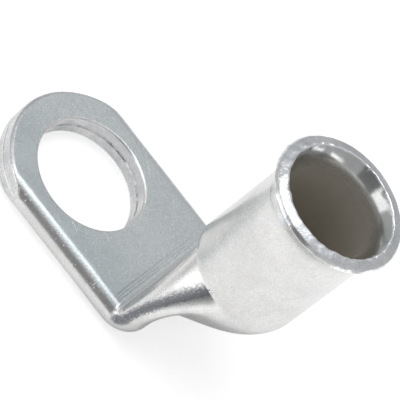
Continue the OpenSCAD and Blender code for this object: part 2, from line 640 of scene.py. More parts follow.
@dataclass
class PressedPalm:
    """The flat end of the tube: stadium section, bolt hole, sheared tip and the seam of its two walls.

    The plate up to plate_end is laid out round the hole, and a strip of closer rows, which the die
    lines need, goes on from there to the fold. The seam takes up seam_band of the tip's face, and it
    fades where the face is thinner than seam_fade of a wall. Rows and steps count points.
    """

    sizes: LugSizes
    section: TubeSection
    plate_end: float = 9.6 * MM
    hole_round: float = 0.24 * MM
    hole_burr: float = 0.12 * MM
    tip_round: float = 0.42 * MM
    tip_round_share: float = 0.3
    seam_width: float = 0.3 * MM
    seam_depth: float = 0.16 * MM
    seam_reach: float = 1.6
    seam_band: float = 0.3
    seam_wander: float = 0.5
    seam_waves: tuple[int, int] = (9, 23)
    seam_turn: float = 1.3
    seam_fade: float = 0.5
    seam_rows: int = 13
    side_step: float = 0.4 * MM
    strip_step: float = 0.085 * MM
    corner_steps: int = 10
    tip_steps: int = 28
    radial_steps: int = 22
    crowding: float = 0.45
    hole_round_rows: int = 6
    hole_rows: int = 9
    tip_round_rows: int = 5
    tip_rows: int = 8

    def unrolled(self, y: np.ndarray) -> np.ndarray:
        """Distance over the skin from the centre line.

        Args:
            y: distances straight across the palm.

        Returns:
            The distances over the rounded side.
        """
        flat = self.sizes.flat_w
        over = np.clip((np.abs(y) - flat) / self.sizes.wall, 0.0, 1.0)
        return np.sign(y) * (np.minimum(np.abs(y), flat) + self.sizes.wall * np.arcsin(over))

    def rolled(self, x: np.ndarray, run_y: np.ndarray, top: bool) -> np.ndarray:
        """Points on the palm's skin from its unrolled layout.

        Args:
            x: places along the palm.
            run_y: distances over the skin from the centre line.
            top: the upper skin, not the lower.

        Returns:
            The points.
        """
        edge, flat = self.sizes.wall, self.sizes.flat_w
        turn = np.clip((np.abs(run_y) - flat) / edge, 0.0, np.pi / 2)
        y = np.sign(run_y) * (np.minimum(np.abs(run_y), flat) + edge * np.sin(turn))
        rise = edge * np.cos(turn)
        return np.stack([x, y, edge + (rise if top else -rise)], axis=-1)

    def outline(self) -> tuple[np.ndarray, slice]:
        """Outline of the plate in its unrolled layout, from the fold side round by the near side.

        Returns:
            The points, and which of them are the sheared tip.
        """
        s = self.sizes
        edge, flat = s.wall, s.flat_w
        quarter = self.section.edge_steps // 2
        turn = np.arange(1, quarter + 1) / quarter * np.pi / 2
        level = np.arange(self.section.flat_steps + 1) / self.section.flat_steps * flat
        across = np.concatenate([level, flat + edge * turn])
        join = np.stack([np.full(len(across), self.plate_end), across], axis=-1)
        corner_x = -math.sqrt(s.tip_r ** 2 - s.half_w ** 2)
        steps = int(round((self.plate_end - corner_x) / self.side_step))
        side_x = np.linspace(self.plate_end, corner_x, steps + 1)[1:]
        side = np.stack([side_x, np.full(steps, flat + edge * np.pi / 2)], axis=-1)
        down = np.linspace(np.pi / 2, 0, self.corner_steps + 1)[1:]
        gamma = np.linspace(math.asin(flat / s.tip_r), 0, self.tip_steps + 1)[1:]
        tip_y = np.concatenate([flat + edge * np.sin(down), s.tip_r * np.sin(gamma)])
        tip_x = -np.sqrt(s.tip_r ** 2 - tip_y ** 2)
        tip = np.stack([tip_x, self.unrolled(tip_y)], axis=-1)
        half = np.concatenate([join, side, tip])
        far = half[-2:0:-1] * [1, -1]
        total = np.concatenate([half, far])
        first = len(join) + len(side) - 1
        return total * [1, -1], slice(first, len(total) - first + 1)

    def seam(self, height: np.ndarray, angle: np.ndarray) -> np.ndarray:
        """How far the seam of the two walls sinks into a cut face.

        Args:
            height: heights above the middle of the face.
            angle: angles round the hole.

        Returns:
            The depth at each point.
        """
        long, short = self.seam_waves
        wander = 1.0 + self.seam_wander * np.sin(long * angle + self.seam_turn) * np.sin(short * angle)
        return self.seam_depth * wander * np.exp(-((height / (self.seam_width / 2)) ** 2))

    def run(self, grid: np.ndarray, top: bool) -> np.ndarray:
        """Run of palm points: the tube's length goes on towards the tip.

        Args:
            grid: the points.
            top: the upper skin, not the lower.

        Returns:
            The run of each point.
        """
        s = self.sizes
        over = self.unrolled(grid[..., 1])
        share = np.abs(over) / (2 * (s.flat_w + s.wall * np.pi / 2))
        turn = np.pi * (share if top else 1.0 - share)
        turn = turn * np.where(grid[..., 1] > 0, 1.0, -1.0)
        return run_of(turn, grid[..., 0] - s.fold_x, s.tube_r)

    def build(self, net: SkinNet) -> None:
        """Adds the palm to the skin.

        Args:
            net: the skin so far.
        """
        s = self.sizes
        out, tip = self.outline()
        angle = np.arctan2(out[:, 1], out[:, 0])
        reach = np.hypot(out[:, 0], out[:, 1])
        edge = self.rolled(out[:, 0], out[:, 1], True)
        soft = np.zeros(len(out))
        soft[tip] = np.minimum(self.tip_round, self.tip_round_share * 2 * (edge[tip, 2] - s.wall))
        for top in (True, False):
            self.add_face(net, angle, reach - soft, top)
        self.add_hole(net, angle)
        self.add_tip(net, out[tip], soft[tip], np.arctan2(edge[tip, 1], edge[tip, 0]))
        self.add_strip(net)

    def add_face(self, net: SkinNet, angle: np.ndarray, limit: np.ndarray, top: bool) -> None:
        """Adds one face of the plate, from the hole out to the outline.

        Args:
            net: the skin so far.
            angle: angle round the hole of each ray of points.
            limit: distance at which each ray ends.
            top: the upper face, not the lower.
        """
        start = self.sizes.hole_r + (self.hole_round if top else self.hole_burr)
        even = np.linspace(0, 1, self.radial_steps + 1)
        share = self.crowding * ease(even) + (1 - self.crowding) * even
        radius = start + (limit - start)[None, :] * share[:, None]
        grid = self.rolled(radius * np.cos(angle), radius * np.sin(angle), top)
        net.add_grid(grid, self.run(grid, top), Finish.PLATE, pressed=1.0, flip=top)

    def add_hole(self, net: SkinNet, angle: np.ndarray) -> None:
        """Adds the wall of the bolt hole, with rounded edges and the seam at half height.

        Args:
            net: the skin so far.
            angle: angle round the hole of each column of points.
        """
        s = self.sizes
        turns = np.linspace(0, np.pi / 2, self.hole_round_rows)
        seam = np.linspace(self.seam_reach, -self.seam_reach, self.seam_rows) * self.seam_width
        upper = np.linspace(s.palm_t - self.hole_round, s.wall + seam[0], self.hole_rows)[1:-1]
        lower = np.linspace(s.wall + seam[-1], self.hole_burr, self.hole_rows)[1:-1]
        z = np.concatenate([
            s.palm_t - self.hole_round * (1 - np.cos(turns)),
            upper,
            s.wall + seam,
            lower,
            self.hole_burr * (1 - np.sin(turns)),
        ])
        flare = np.concatenate([
            self.hole_round * (1 - np.sin(turns)),
            np.zeros(len(upper) + len(seam) + len(lower)),
            self.hole_burr * (1 - np.cos(turns)),
        ])
        r = s.hole_r + flare[:, None] + self.seam(z[:, None] - s.wall, angle[None, :])
        z = np.broadcast_to(z[:, None], r.shape)
        grid = np.stack([r * np.cos(angle), r * np.sin(angle), z], -1)
        net.add_grid(grid, run_of(np.broadcast_to(angle, r.shape), z, s.hole_r), Finish.CUT, pressed=1.0)

    def add_tip(self, net: SkinNet, out: np.ndarray, soft: np.ndarray, angle: np.ndarray) -> None:
        """Adds the sheared face of the tip, which dies out where the rounded sides begin.

        Args:
            net: the skin so far.
            out: the tip's part of the unrolled outline.
            soft: how far the edge of each of its points is rounded.
            angle: the true angle of each of its points.
        """
        s = self.sizes
        unrolled_angle = np.arctan2(out[:, 1], out[:, 0])
        reach = np.hypot(out[:, 0], out[:, 1])
        rounded = {True: [], False: []}
        for top, rows in rounded.items():
            for turn in np.linspace(0, np.pi / 2, self.tip_round_rows):
                radius = reach - soft * (1 - np.sin(turn))
                skin = self.rolled(radius * np.cos(unrolled_angle), radius * np.sin(unrolled_angle), top)
                skin[:, 2] += (-1 if top else 1) * soft * (1 - np.cos(turn))
                rows.append(skin)
        upper, lower = rounded[True][-1], rounded[False][-1]
        half = (upper[:, 2] - lower[:, 2]) / 2
        marks = np.concatenate([
            np.linspace(1.0, self.seam_band, self.tip_rows)[1:-1],
            np.linspace(1.0, -1.0, self.seam_rows) * self.seam_band,
            np.linspace(-self.seam_band, -1.0, self.tip_rows)[1:-1],
        ])
        height = half[None, :] * marks[:, None]
        across = height * self.seam_reach * self.seam_width / np.maximum(self.seam_band * half, TINY)
        sunk = self.seam(across, angle[None, :]) * np.clip(half / (self.seam_fade * s.wall), 0, 1)
        face = np.stack([upper[:, 0] - sunk * np.cos(angle), upper[:, 1] - sunk * np.sin(angle),
                         s.wall + height], -1)
        grid = np.concatenate([np.stack(rounded[True]), face, np.stack(rounded[False][::-1])])
        run = run_of(np.broadcast_to(angle, grid.shape[:2]), grid[..., 2], s.tip_r)
        net.add_grid(grid, run, Finish.CUT, pressed=1.0, closed=False, flip=True)

    def add_strip(self, net: SkinNet) -> None:
        """Adds the stretch between the plate and the fold.

        Args:
            net: the skin so far.
        """
        s = self.sizes
        columns = self.section.columns()
        rows = int(round((s.fold_x - self.plate_end) / self.strip_step)) + 1
        x = np.linspace(self.plate_end, s.fold_x, rows)[:, None]
        y = columns.side * TubeSection.across(columns.w, s.half_w, s.wall)
        z = s.palm_t - TubeSection.depth(columns.w, s.wall)
        grid = np.stack(np.broadcast_arrays(x, y, z), -1)
        net.add_grid(grid, columns.run(grid[..., 0] - s.fold_x, s.tube_r), Finish.PLATE, pressed=1.0)


# --------------------------------------------------------------------------------------------
# Neck
# --------------------------------------------------------------------------------------------

# Length of tube that the fold and the rise of the neck take up.
FOLD_RUN = 3.0 * MM
RISE_RUN = 8.5 * MM


@dataclass
class FoldedNeck:
    """The neck: turned up through the fold, then lofted out to the round barrel. Hollow inside.

    A foot or head is how far the loft pulls on its end. back_from, back_over, the rates and the place
    and spread of the painted shade along the ridge are in columns' places w.
    """

    sizes: LugSizes
    section: TubeSection
    fold_rows: int = 22
    rise_rows: int = 56
    hollow_rows: int = 24
    back_lead: float = math.radians(45)
    back_from: float = 2.2
    back_over: float = 0.8
    shoulder_foot: float = 3.3 * MM
    edge_foot: float = 5.0 * MM
    back_foot: float = 0.8 * MM
    edge_rate: float = 2.0
    back_rate: float = 1.4
    sharp_head: float = 0.05 * MM
    back_head: float = 4.2 * MM
    blend_from: float = math.radians(84)
    blend_out: float = math.radians(50)
    inner_foot: float = 1.2 * MM
    inner_front_head: float = 2.0 * MM
    inner_back_head: float = 3.4 * MM
    ridge_shade_at: float = 1.4
    ridge_shade_spread: float = 0.13

    def fold_point(self, y: np.ndarray, depth: np.ndarray, turn: np.ndarray) -> np.ndarray:
        """Points on the fold.

        Args:
            y: places across the palm.
            depth: depths below the inside face of the fold.
            turn: angles that the points are turned by.

        Returns:
            The points.
        """
        s = self.sizes
        radius = s.fold_r + depth
        return np.stack([s.fold_x + radius * np.sin(turn), y, s.fold_z - radius * np.cos(turn)], -1)

    def fold_end(self, w: np.ndarray) -> np.ndarray:
        """Angle at which each column leaves the fold: the back wall leaves early."""
        return np.pi / 2 - self.back_lead * ease((w - self.back_from) / self.back_over)

    def foot_pull(self, w: np.ndarray) -> np.ndarray:
        """Pull of the loft at its foot: from the shoulder over the edge to the back.

        Args:
            w: places of the columns.

        Returns:
            The pull of each column.
        """
        front = mix(self.shoulder_foot, self.edge_foot, ease(self.edge_rate * (w - SIDE_MIDDLE)))
        back = mix(self.edge_foot, self.back_foot, ease(self.back_rate * (w - SIDE_END)))
        return np.where(w < SIDE_END, front, back)

    def head_pull(self, turn: np.ndarray) -> np.ndarray:
        """Pull of the loft at its head: sharp at the front and the shoulders, smooth at the back."""
        return mix(self.sharp_head, self.back_head, ease((turn - self.blend_from) / self.blend_out))

    def ridge_painted_shade(self, w: np.ndarray) -> np.ndarray:
        """Painted shade along the ridge of the pressed edge: dark specks that stand in for the dark
        reflection there.
        """
        return np.exp(-(((w - self.ridge_shade_at) / self.ridge_shade_spread) ** 2))

    def under_barrel(self, head: np.ndarray, pull: np.ndarray, depth: float) -> np.ndarray:
        """Control ring below the head.

        Args:
            head: the ring at the head.
            pull: how far below it each point lies.
            depth: how far the ring keeps behind the pressed front face.

        Returns:
            The ring's points.
        """
        ring = head - pull[:, None] * np.array([0.0, 0.0, 1.0])
        ring[:, 0] = np.maximum(ring[:, 0], self.sizes.front_x + depth)
        return ring

    def ring(self, columns: Columns, radius: float) -> np.ndarray:
        """Round ring where the neck has become the barrel.

        Args:
            columns: the columns round the tube.
            radius: the ring's radius.

        Returns:
            The ring's points.
        """
        s = self.sizes
        x = s.barrel_x - radius * np.cos(columns.turn)
        y = columns.side * radius * np.sin(columns.turn)
        return np.stack([x, y, np.full(len(x), s.neck_top)], -1)

    def loft(self, tree: bpy.types.NodeTree, rings: list[np.ndarray], rows: int,
             material: bpy.types.Material) -> np.ndarray:
        """Draws a skin through four control rings.

        Args:
            tree: the loft tree.
            rings: foot, foot pull, head pull and head.
            rows: rows of points, the first and last rings included.
            material: the finish that the tree sets.

        Returns:
            Points as rows by columns by 3.
        """
        control = bpy.data.meshes.new("neck_rings")
        control.from_pydata(np.concatenate(rings).tolist(), [], [])
        count = len(rings[0])
        result = baked_by(tree, control, {"Ring points": count, "Rows": rows, "Material": material})
        grid = points_of(result).reshape(rows, count + 1, 3)[:, :-1]
        grid[0], grid[-1] = rings[0], rings[-1]
        return grid

    def build(self, net: SkinNet, skin: bpy.types.Material, bore: bpy.types.Material) -> None:
        """Adds the fold, the outside of the neck and its hollow to the skin.

        Args:
            net: the skin so far.
            skin: the finish of the outside.
            bore: the finish of the hollow.
        """
        tree = loft_tree()
        columns = self.section.columns()
        self.add_rise(net, tree, skin, columns, self.add_fold(net, columns))
        self.add_hollow(net, tree, bore, columns)

    def add_fold(self, net: SkinNet, columns: Columns) -> np.ndarray:
        """Adds the fold.

        Args:
            net: the skin so far.
            columns: the columns round the tube.

        Returns:
            The ring at which the fold ends.
        """
        s, w = self.sizes, columns.w
        leave = self.fold_end(w)
        share = np.linspace(0, 1, self.fold_rows + 1)
        y = columns.side * TubeSection.across(w, s.half_w, s.wall)
        depth = TubeSection.depth(w, s.wall)
        fold = np.stack([self.fold_point(y, depth, leave * q) for q in share])
        length = np.broadcast_to(share[:, None] * FOLD_RUN, fold.shape[:2])
        # Painted shade: a dark band along the ridge of the pressed edge, growing over the fold.
        dirt = self.ridge_painted_shade(w)[None, :] * ease(share * 2)[:, None]
        net.add_grid(fold, columns.run(length, s.tube_r), Finish.PLATE, pressed=1.0, dirt=dirt)
        return fold[-1]

    def add_rise(self, net: SkinNet, tree: bpy.types.NodeTree, skin: bpy.types.Material,
                 columns: Columns, foot: np.ndarray) -> None:
        """Adds the outside of the neck, from the fold up to the barrel.

        Args:
            net: the skin so far.
            tree: the loft tree.
            skin: the finish of the outside.
            columns: the columns round the tube.
            foot: the ring at which the fold ends.
        """
        s, w = self.sizes, columns.w
        leave = self.fold_end(w)
        way = np.stack([np.cos(leave), 0 * leave, np.sin(leave)], -1)
        head = self.ring(columns, s.tube_r)
        rings = [
            foot,
            foot + self.foot_pull(w)[:, None] * way,
            self.under_barrel(head, self.head_pull(columns.turn), 0.0),
            head,
        ]
        outside = self.loft(tree, rings, self.rise_rows + 1, skin)
        share = np.linspace(0, 1, self.rise_rows + 1)
        length = np.broadcast_to(FOLD_RUN + share[:, None] * RISE_RUN, outside.shape[:2])
        height = (outside[..., 2] - s.fold_z) / (s.neck_top - s.fold_z)
        # The painted shade along the ridge goes on up the neck.
        net.add_grid(outside, columns.run(length, s.tube_r), Finish.PLATE,
                     pressed=1.0 - ease(height), dirt=self.ridge_painted_shade(w)[None, :])

    def add_hollow(self, net: SkinNet, tree: bpy.types.NodeTree, bore: bpy.types.Material,
                   columns: Columns) -> None:
        """Adds the hollow of the neck, from the bore down to the slit where the walls meet.

        Args:
            net: the skin so far.
            tree: the loft tree.
            bore: the finish of the hollow.
            columns: the columns round the tube.
        """
        s, w = self.sizes, columns.w
        slit_w = s.half_w - 2.0 * s.wall
        leave = self.fold_end(np.where(w < SIDE_MIDDLE, BACK - w, w))
        foot = self.fold_point(columns.side * TubeSection.across(w, slit_w, s.slit / 2),
                               s.wall - s.slit / 2 + TubeSection.depth(w, s.slit / 2), leave)
        way = np.stack([np.cos(leave), 0 * leave, np.sin(leave)], -1)
        head = self.ring(columns, s.bore_r)
        pull = mix(self.inner_front_head, self.inner_back_head, ease(columns.turn / np.pi))
        rings = [foot, foot + self.inner_foot * way, self.under_barrel(head, pull, s.wall), head]
        inside = self.loft(tree, rings, self.hollow_rows + 1, bore)
        run = columns.run(inside[..., 2], s.bore_r)
        net.add_grid(inside, run, Finish.BORE, dirt=1.0, flip=True)
        half, around = self.section.half, self.section.around
        for mirrored in (False, True):
            front = np.arange(half // 2 + 1)
            back = half - front
            if mirrored:
                front, back = (around - front) % around, (around - back) % around
            cap = np.stack([foot[front], foot[back]])
            cap_run = np.stack([run[0][front], run[0][back]])
            net.add_grid(cap, cap_run, Finish.BORE, closed=False, flip=mirrored)


# --------------------------------------------------------------------------------------------
# Barrel
# --------------------------------------------------------------------------------------------


@dataclass
class BellBarrel:
    """The round barrel: straight wall, trumpet mouth, worn lip and the bore behind it.

    A band is how far the wear of a lip reaches, across the radius and along the height. Waves are the
    ripples of the wear round the lip, of which the short ones are the weaker.
    """

    sizes: LugSizes
    section: TubeSection
    wall_rows: int = 22
    bell_rows: int = 18
    bore_rows: int = 16
    lip_round_w: float = 0.3 * MM
    lip_round_h: float = 0.35 * MM
    corner_r: float = 0.12 * MM
    corner_share: float = 0.45
    corner_rows: int = 5
    dirt_above: float = 3.6 * MM
    dirt_fade: float = 5.0 * MM
    burr: float = 0.12 * MM
    outer_burr: float = 0.8
    low_burr: float = 0.9
    inner_band: tuple[float, float] = (0.3 * MM, 0.35 * MM)
    outer_band: tuple[float, float] = (0.35 * MM, 0.4 * MM)
    waves: tuple[int, int] = (3, 34)
    wave_fall: float = 0.55
    seed: int = 5

    def trumpet(self, start_r: float, end_r: float, end_z: float) -> np.ndarray:
        """Quarter arc that leaves the straight wall level with it and flares to the mouth.

        Args:
            start_r: radius of the straight wall.
            end_r: radius at the mouth.
            end_z: height of the mouth.

        Returns:
            Points of (radius, height).
        """
        s = self.sizes
        rise, run = end_z - s.bell_z, end_r - start_r
        arc = (rise * rise + run * run) / (2 * run)
        turn = np.linspace(0, math.asin(rise / arc), self.bell_rows + 1)
        return np.stack([start_r + arc * (1 - np.cos(turn)), s.bell_z + arc * np.sin(turn)], -1)

    def rounded(self, corners: np.ndarray) -> np.ndarray:
        """Rounds the inner corners of a short path.

        Args:
            corners: points of (radius, height), of which the first and last stay sharp.

        Returns:
            The path with an arc of corner_rows steps at each corner between them.
        """
        path = []
        for before, at, after in zip(corners[:-2], corners[1:-1], corners[2:]):
            back_l, ahead_l = np.linalg.norm(before - at), np.linalg.norm(after - at)
            reach = min(self.corner_r, self.corner_share * back_l, self.corner_share * ahead_l)
            a = at + (before - at) / back_l * reach
            b = at + (after - at) / ahead_l * reach
            for q in np.linspace(0, 1, self.corner_rows + 1):
                path.append((1 - q) ** 2 * a + 2 * q * (1 - q) * at + q * q * b)
        return np.array(path)

    def profile(self) -> tuple[np.ndarray, list[Finish]]:
        """Half section from the foot of the wall, over the lip and down the bore.

        Returns:
            Points of (radius, height), and the finish of each band between them.
        """
        s = self.sizes
        straight = np.stack([np.full(self.wall_rows, s.tube_r),
                             np.linspace(s.neck_top, s.bell_z, self.wall_rows + 1)[:-1]], -1)
        out_arc = self.trumpet(s.tube_r, s.mouth_r, s.top_z - s.lip_drop)
        in_arc = self.trumpet(s.bore_r, s.mouth_bore_r, s.top_z)[::-1]
        lip = self.rounded(np.array([
            out_arc[-2],
            [s.mouth_r, s.top_z - s.lip_drop],
            [s.mouth_r - self.lip_round_w, s.top_z - s.lip_drop + self.lip_round_h],
            [s.mouth_bore_r + s.lip_flat, s.top_z],
            [s.mouth_bore_r, s.top_z],
            in_arc[1],
        ]))
        down = np.stack([np.full(self.bore_rows, s.bore_r),
                         np.linspace(s.bell_z, s.neck_top, self.bore_rows + 1)[1:]], -1)
        path = np.concatenate([straight, out_arc[:-1], lip, in_arc[1:], down])
        outer = len(straight) + len(out_arc) - 2
        inner = outer + len(lip) + 1
        finishes = [Finish.PLATE if r < outer else Finish.RIM if r < inner else Finish.BORE
                    for r in range(len(path) - 1)]
        return path, finishes

    def build(self, net: SkinNet, skin: bpy.types.Material) -> None:
        """Adds the barrel to the skin.

        Args:
            net: the skin so far.
            skin: the finish of the outside.
        """
        s = self.sizes
        columns = self.section.columns()
        path, finishes = self.profile()
        ways = np.stack([-np.cos(columns.turn), columns.side * np.sin(columns.turn), 0 * columns.turn], -1)
        upright = np.stack([path[:, 0], 0 * path[:, 0], path[:, 1]], -1)
        control = bpy.data.meshes.new("barrel_profile")
        control.from_pydata(np.concatenate([upright, ways]).tolist(), [], [])
        axis = (s.barrel_x, 0.0, 0.0)
        result = baked_by(spin_tree(), control, {"Profile points": len(path), "Turn points": len(ways),
                                                 "Axis": axis, "Material": skin})
        grid = points_of(result).reshape(len(path), len(ways) + 1, 3)[:, :-1].copy()
        for end in (0, -1):
            grid[end] = ways * path[end, 0] + axis + [0.0, 0.0, path[end, 1]]
        self.wear_lip(grid, path, columns.turn * columns.side)
        steps = np.linalg.norm(np.diff(path, axis=0), axis=1)
        along = FOLD_RUN + RISE_RUN + np.concatenate([[0], np.cumsum(steps)])
        run = columns.run(np.broadcast_to(along[:, None], grid.shape[:2]), s.tube_r)
        in_bore = path[:, 0] < s.tube_r - 0.5 * s.wall
        deep = ease((s.bell_z + self.dirt_above - path[:, 1]) / self.dirt_fade) * in_bore
        net.add_grid(grid, run, finishes, dirt=deep[:, None])

    def wear_lip(self, grid: np.ndarray, path: np.ndarray, turn: np.ndarray) -> None:
        """Dents and frays the lip a little, always inside its true outline.

        Args:
            grid: the barrel's points, which are moved.
            path: its half section.
            turn: the angle of each of its columns.
        """
        s = self.sizes
        rng = np.random.default_rng(self.seed)
        inner = near(path, (s.mouth_bore_r, s.top_z), self.inner_band)[:, None]
        outer = near(path, (s.mouth_r, s.top_z - s.lip_drop), self.outer_band)[:, None]
        fray, dent = np.zeros_like(turn), np.zeros_like(turn)
        for waves in range(*self.waves):
            size = 1.0 / waves ** self.wave_fall
            for wear in (fray, dent):
                wear += size * rng.normal() * np.sin(waves * turn + rng.uniform(0, 2 * np.pi))
        fray = np.abs(fray) / np.abs(fray).max()
        dent = np.abs(dent) / np.abs(dent).max()
        pull_in = self.burr * (inner * fray + self.outer_burr * outer * dent)
        grid[..., 0] += pull_in * np.cos(turn)
        grid[..., 1] -= pull_in * np.sin(turn)
        grid[..., 2] -= self.burr * self.low_burr * (inner * dent + outer * fray)


def near(path: np.ndarray, centre: tuple[float, float], band: tuple[float, float]) -> np.ndarray:
    """How near each point of (radius, height) is to a centre: 1 on it, fading out over the band."""
    return np.exp(-(((path - centre) / band) ** 2).sum(axis=1))


# --------------------------------------------------------------------------------------------
# Effects that the finishes share
# --------------------------------------------------------------------------------------------

WHITE = (1.0, 1.0, 1.0, 1.0)

# Turn and shift of each direction of scratches, and how patterns are drawn out into lines.
SCRATCH_WAYS = ((0.5, 0.0), (-0.9, 3.7), (1.35, 8.1))
SCRATCH_STRETCH = (0.06, 1.0, 1.0)
STREAK_STRETCH = (1.0, 1.0, 0.035)

# Way across the palm in which the painted shade on its upward face thins out.
PAINTED_FACE_SHADE_WAY = (0.1, 1.0, 0.0)


class ShaderSheet(NodeSheet):
    """A shader tree, of a material or of a shared group, with short calls for its nodes."""

    def layer(self, name: str, output: str = "Fac") -> Socket:
        """An attribute of the skin."""
        return self.put("ShaderNodeAttribute", attribute_name=name).outputs[output]

    def stretch(self, vector: Socket, scale: Place) -> Socket:
        """A pattern's coordinates, scaled on each axis."""
        return self.put("ShaderNodeMapping", {"Vector": vector, "Scale": scale}).outputs[0]

    def noise(self, vector: Socket, scale: object, detail: float = 2.0, rough: float = 0.5) -> Socket:
        """Plain noise between 0 and 1."""
        links = {"Vector": vector, "Scale": scale, "Detail": detail, "Roughness": rough}
        return self.put("ShaderNodeTexNoise", links).outputs[0]

    def ramp(self, value: Socket, low: object, high: object) -> Socket:
        """Smooth mask that is 0 at low and 1 at high."""
        links = {"Value": value, "From Min": low, "From Max": high}
        return self.put("ShaderNodeMapRange", links, interpolation_type="SMOOTHSTEP").outputs["Result"]

    def blend(self, share: object, a: object, b: object) -> Socket:
        """Colour that goes from a to b with share."""
        return self.put("ShaderNodeMix", {0: share, 6: a, 7: b}, data_type="RGBA").outputs[2]

    def tinted(self, colour: Socket, tint: Colour) -> Socket:
        """Colour multiplied by a tint."""
        links = {0: 1.0, 6: colour, 7: tint}
        return self.put("ShaderNodeMix", links, data_type="RGBA", blend_type="MULTIPLY").outputs[2]


class EffectGroup(GroupSheet, ShaderSheet):
    """A shader node group with named inputs and outputs, which several finishes place."""

    def __init__(self, name: str, inputs: dict[str, Kind | float], outputs: list[str]) -> None:
        """Starts the group, with the kind or the default of each input and the names of its masks."""
        super().__init__(name, "ShaderNodeTree", inputs, dict.fromkeys(outputs, Kind.NUMBER))


class Effect(Enum):
    """The shared effects."""

    CLOUD = "Cloudy tone"
    GRAIN = "Plating grain"
    SCRATCH = "Handling scratches"
    STREAK = "Draw streaks"
    RUB = "Edge rub"
    FACE = "Pressed face"
    TARNISH = "Palm tarnish"
    SAND = "Dark sand"
    STAIN = "Warm stain"
    DIRT = "Die dirt"
    DENT = "Small dents"

    def start(self, inputs: dict[str, Kind | float], outputs: list[str]) -> EffectGroup:
        """Starts the effect's group."""
        return EffectGroup(self.value, inputs, outputs)


def cloud_group() -> bpy.types.NodeTree:
    """Clouds of paler and duller tin.

    Returns:
        The group.
    """
    made = Effect.CLOUD.start({"Vector": Kind.VECTOR, "Fineness": 260.0}, ["Mask"])
    cloud = made.noise(made.given("Vector"), made.given("Fineness"), 4.0, 0.6)
    made.give("Mask", made.ramp(cloud, 0.35, 0.68))
    return made.tree


def grain_group() -> bpy.types.NodeTree:
    """Fine sandy grain of the plating, strongest where the tube was pressed.

    Returns:
        The group, which gives a height, the pale specks, whose paler colour is a painted glint, and the dark
        pits.
    """
    made = Effect.GRAIN.start(
        {"Vector": Kind.VECTOR, "Pressed": 0.0, "Depth": 0.0, "Fineness": 7000.0, "Specks": 4000.0},
        ["Height", "Pale specks", "Dark pits"],
    )
    place, pressed, depth = made.given("Vector"), made.given("Pressed"), made.given("Depth")
    fine = made.maths("MULTIPLY", made.noise(place, made.given("Fineness"), 3.0), 0.65)
    height = made.maths("MULTIPLY_ADD", made.noise(place, 3000.0), 0.35, fine)
    height = made.maths("MULTIPLY", height, made.maths("MULTIPLY_ADD", pressed, 0.6, 0.4))
    cell = made.put("ShaderNodeTexVoronoi", {"Vector": place, "Scale": made.given("Specks")}).outputs
    chance = made.put("ShaderNodeSeparateColor", {"Color": cell["Color"]}).outputs
    dot = made.ramp(cell["Distance"], 0.3, 0.12)
    # Pale specks: raised grain that the finishes also paint pale as glints.
    pale = made.maths("MULTIPLY", dot, made.ramp(chance[0], 0.66, 1.0))
    pale = made.maths("MULTIPLY", pale, made.maths("MULTIPLY_ADD", pressed, 0.7, 0.15))
    made.give("Height", made.maths("MULTIPLY", made.maths("MULTIPLY_ADD", pale, 1.6, height), depth))
    made.give("Pale specks", pale)
    made.give("Dark pits", made.maths("MULTIPLY", dot, made.ramp(chance[1], 0.07, 0.0)))
    return made.tree


def scratch_group() -> bpy.types.NodeTree:
    """Thin straight handling scratches, in crossing directions.

    Returns:
        The group.
    """
    made = Effect.SCRATCH.start({"Vector": Kind.VECTOR, "Fineness": 260.0}, ["Mask"])
    total = None
    for turn, shift in SCRATCH_WAYS:
        turned = made.put("ShaderNodeMapping", {
            "Vector": made.given("Vector"),
            "Rotation": (0.3 * turn, 0.2, turn),
            "Location": (shift, shift, 0.0),
        }).outputs[0]
        line = made.noise(made.stretch(turned, SCRATCH_STRETCH), made.given("Fineness"), 0.0)
        line = made.ramp(made.maths("ABSOLUTE", made.maths("SUBTRACT", line, 0.5)), 0.003, 0.0)
        line = made.maths("MULTIPLY", line, made.ramp(made.noise(turned, 210.0), 0.58, 0.72))
        total = line if total is None else made.maths("MAXIMUM", total, line)
    made.give("Mask", total)
    return made.tree


def streak_group() -> bpy.types.NodeTree:
    """Soft streaks along the tube, left by drawing it, which follow the skin through the fold.

    Returns:
        The group, which gives a height and a mask.
    """
    made = Effect.STREAK.start({"Run": Kind.VECTOR, "Fineness": 1400.0}, ["Height", "Mask"])
    along = made.stretch(made.given("Run"), STREAK_STRETCH)
    fine = made.maths("MULTIPLY", made.noise(along, made.given("Fineness")), 0.55)
    value = made.maths("MULTIPLY_ADD", made.noise(along, 330.0, 1.0), 0.45, fine)
    made.give("Height", value)
    made.give("Mask", made.ramp(value, 0.35, 0.65))
    return made.tree


def rub_group() -> bpy.types.NodeTree:
    """Bright rubbed metal along convex edges, broken up by handling.

    Returns:
        The group.
    """
    inputs = {"Edge": 0.0, "Vector": Kind.VECTOR, "From": 0.2, "To": 0.8, "Amount": 1.0}
    made = Effect.RUB.start(inputs, ["Mask"])
    broken = made.maths("SUBTRACT", made.noise(made.given("Vector"), 2100.0, 3.0), 0.5)
    edge = made.maths("MULTIPLY_ADD", broken, 0.5, made.given("Edge"))
    mask = made.ramp(edge, made.given("From"), made.given("To"))
    made.give("Mask", made.maths("MULTIPLY", mask, made.given("Amount")))
    return made.tree


def face_group() -> bpy.types.NodeTree:
    """The upper face of the palm, picked by how far it faces up, which takes a painted reflection tint and
    painted shade.

    Returns:
        The group.
    """
    made = Effect.FACE.start({"Normal": Kind.VECTOR, "Pressed": 0.0}, ["Mask"])
    upward = made.ramp(made.axes(made.given("Normal"))[2], 0.75, 0.97)
    made.give("Mask", made.maths("MULTIPLY", upward, made.given("Pressed")))
    return made.tree


